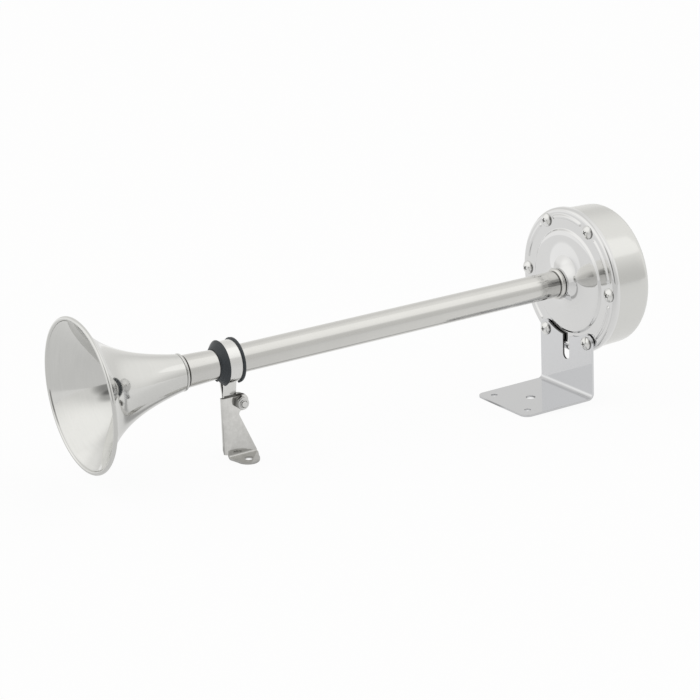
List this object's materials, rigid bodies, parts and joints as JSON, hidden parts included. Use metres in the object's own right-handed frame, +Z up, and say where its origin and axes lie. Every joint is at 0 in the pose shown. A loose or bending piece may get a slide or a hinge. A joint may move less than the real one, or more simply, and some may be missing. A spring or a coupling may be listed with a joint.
{
  "type": "electric trumpet horn",
  "caption": "Single trumpet electric horn in stainless steel: flared bell, long tube, round diaphragm motor case, L bracket with slots and a clamped folding front leg.",
  "frame": {"origin": "centre of the rear bracket's middle hole, on the base's underside", "axes": "+X along the trumpet from the bell towards the motor case, +Z up from the base to the trumpet, +Y across"},
  "size_m": [0.4023, 0.1016, 0.129],
  "materials": {
    "bell_steel": "polished outside, fine turned lines inside",
    "tube_steel": "polished",
    "mirror_steel": "mirror polished",
    "case_steel": "brushed round the drum",
    "bracket_steel": "mirror polished",
    "clamp_steel": "polished",
    "leg_steel": "satin",
    "screw_steel": "polished",
    "zinc_steel": "zinc plated",
    "spring_steel": "rolled strip",
    "magnet_iron": "machined soft iron",
    "copper_wire": "enamelled copper",
    "contact_brass": "rolled brass",
    "contact_metal": "contact alloy",
    "insulating_board": "pressed board",
    "moulded_plastic": "moulded",
    "suppressor_film": "dipped",
    "gasket_rubber": "matt",
    "clamp_rubber": "matt moulded",
    "black_rubber": "matt moulded"
  },
  "bodies": {
    "horn": {"bell": "bell_steel", "trumpet_tube": "tube_steel", "neck_ring": "tube_steel", "front_cover": "mirror_steel", "cover_screws": "screw_steel", "bracket_screws": "screw_steel", "bracket_spacers": "screw_steel", "front_gasket": "gasket_rubber", "diaphragm": "spring_steel", "rear_gasket": "gasket_rubber", "mounting_ring": "zinc_steel", "motor_frame": "zinc_steel", "clinch_nuts": "zinc_steel", "magnet_yoke": "magnet_iron", "yoke_rivets": "zinc_steel", "magnet_core": "magnet_iron", "coil_bobbin": "moulded_plastic", "coil_winding": "copper_wire", "breaker_bracket": "zinc_steel", "breaker_pin": "screw_steel", "fixed_contact": "contact_metal", "contact_strip": "contact_brass", "contact_insulator": "insulating_board", "strip_rivet": "contact_brass", "tuning_nut": "zinc_steel", "tuning_sleeve": "insulating_board", "terminal_block": "insulating_board", "terminal_tabs": "contact_brass", "terminal_screws": "contact_brass", "suppressor": "suppressor_film", "suppressor_clip": "zinc_steel", "rear_cover": "case_steel", "tuning_plug": "black_rubber", "lead_grommet": "black_rubber", "rear_bracket": "bracket_steel"},
    "armature_set": {"armature": "magnet_iron", "armature_washer": "zinc_steel", "armature_nut": "zinc_steel"},
    "breaker": {"breaker_arm": "contact_brass", "moving_contact": "contact_metal"},
    "tuning": {"tuning_screw": "contact_brass"},
    "clamp": {"clamp_rubber": "clamp_rubber", "clamp_band": "clamp_steel", "clamp_bolt": "screw_steel", "clamp_nut": "screw_steel"},
    "leg": {"front_leg": "leg_steel"}
  },
  "joints": [
    {"name": "armature_stroke", "type": "slide", "parent": "horn", "child": "armature_set", "axis": [1, 0, 0], "range_m": [0, 0.0005], "stiffness_N_per_m": 3000, "deforming": ["diaphragm"]},
    {"name": "breaker_hinge", "type": "hinge", "parent": "horn", "child": "breaker", "pos_m": [0.0599, 0, 0.0652], "axis": [0, 1, 0], "range_deg": [0, 2.25]},
    {"name": "tuning_turn", "type": "hinge", "parent": "horn", "child": "tuning", "pos_m": [0.0596, 0, 0.1062], "axis": [1, 0, 0], "range_deg": [-180, 180]},
    {"name": "support_slide", "type": "slide", "parent": "horn", "child": "clamp", "axis": [1, 0, 0], "range_m": [0, 0.16]},
    {"name": "leg_swing", "type": "hinge", "parent": "clamp", "child": "leg", "pos_m": [-0.2269, 0, 0.0509], "axis": [0, 1, 0], "range_deg": [-90, 6]}
  ],
  "couplings": [
    {"joint": "breaker_hinge", "follows": "armature_stroke", "rad_per_m": 76.923}
  ]
}
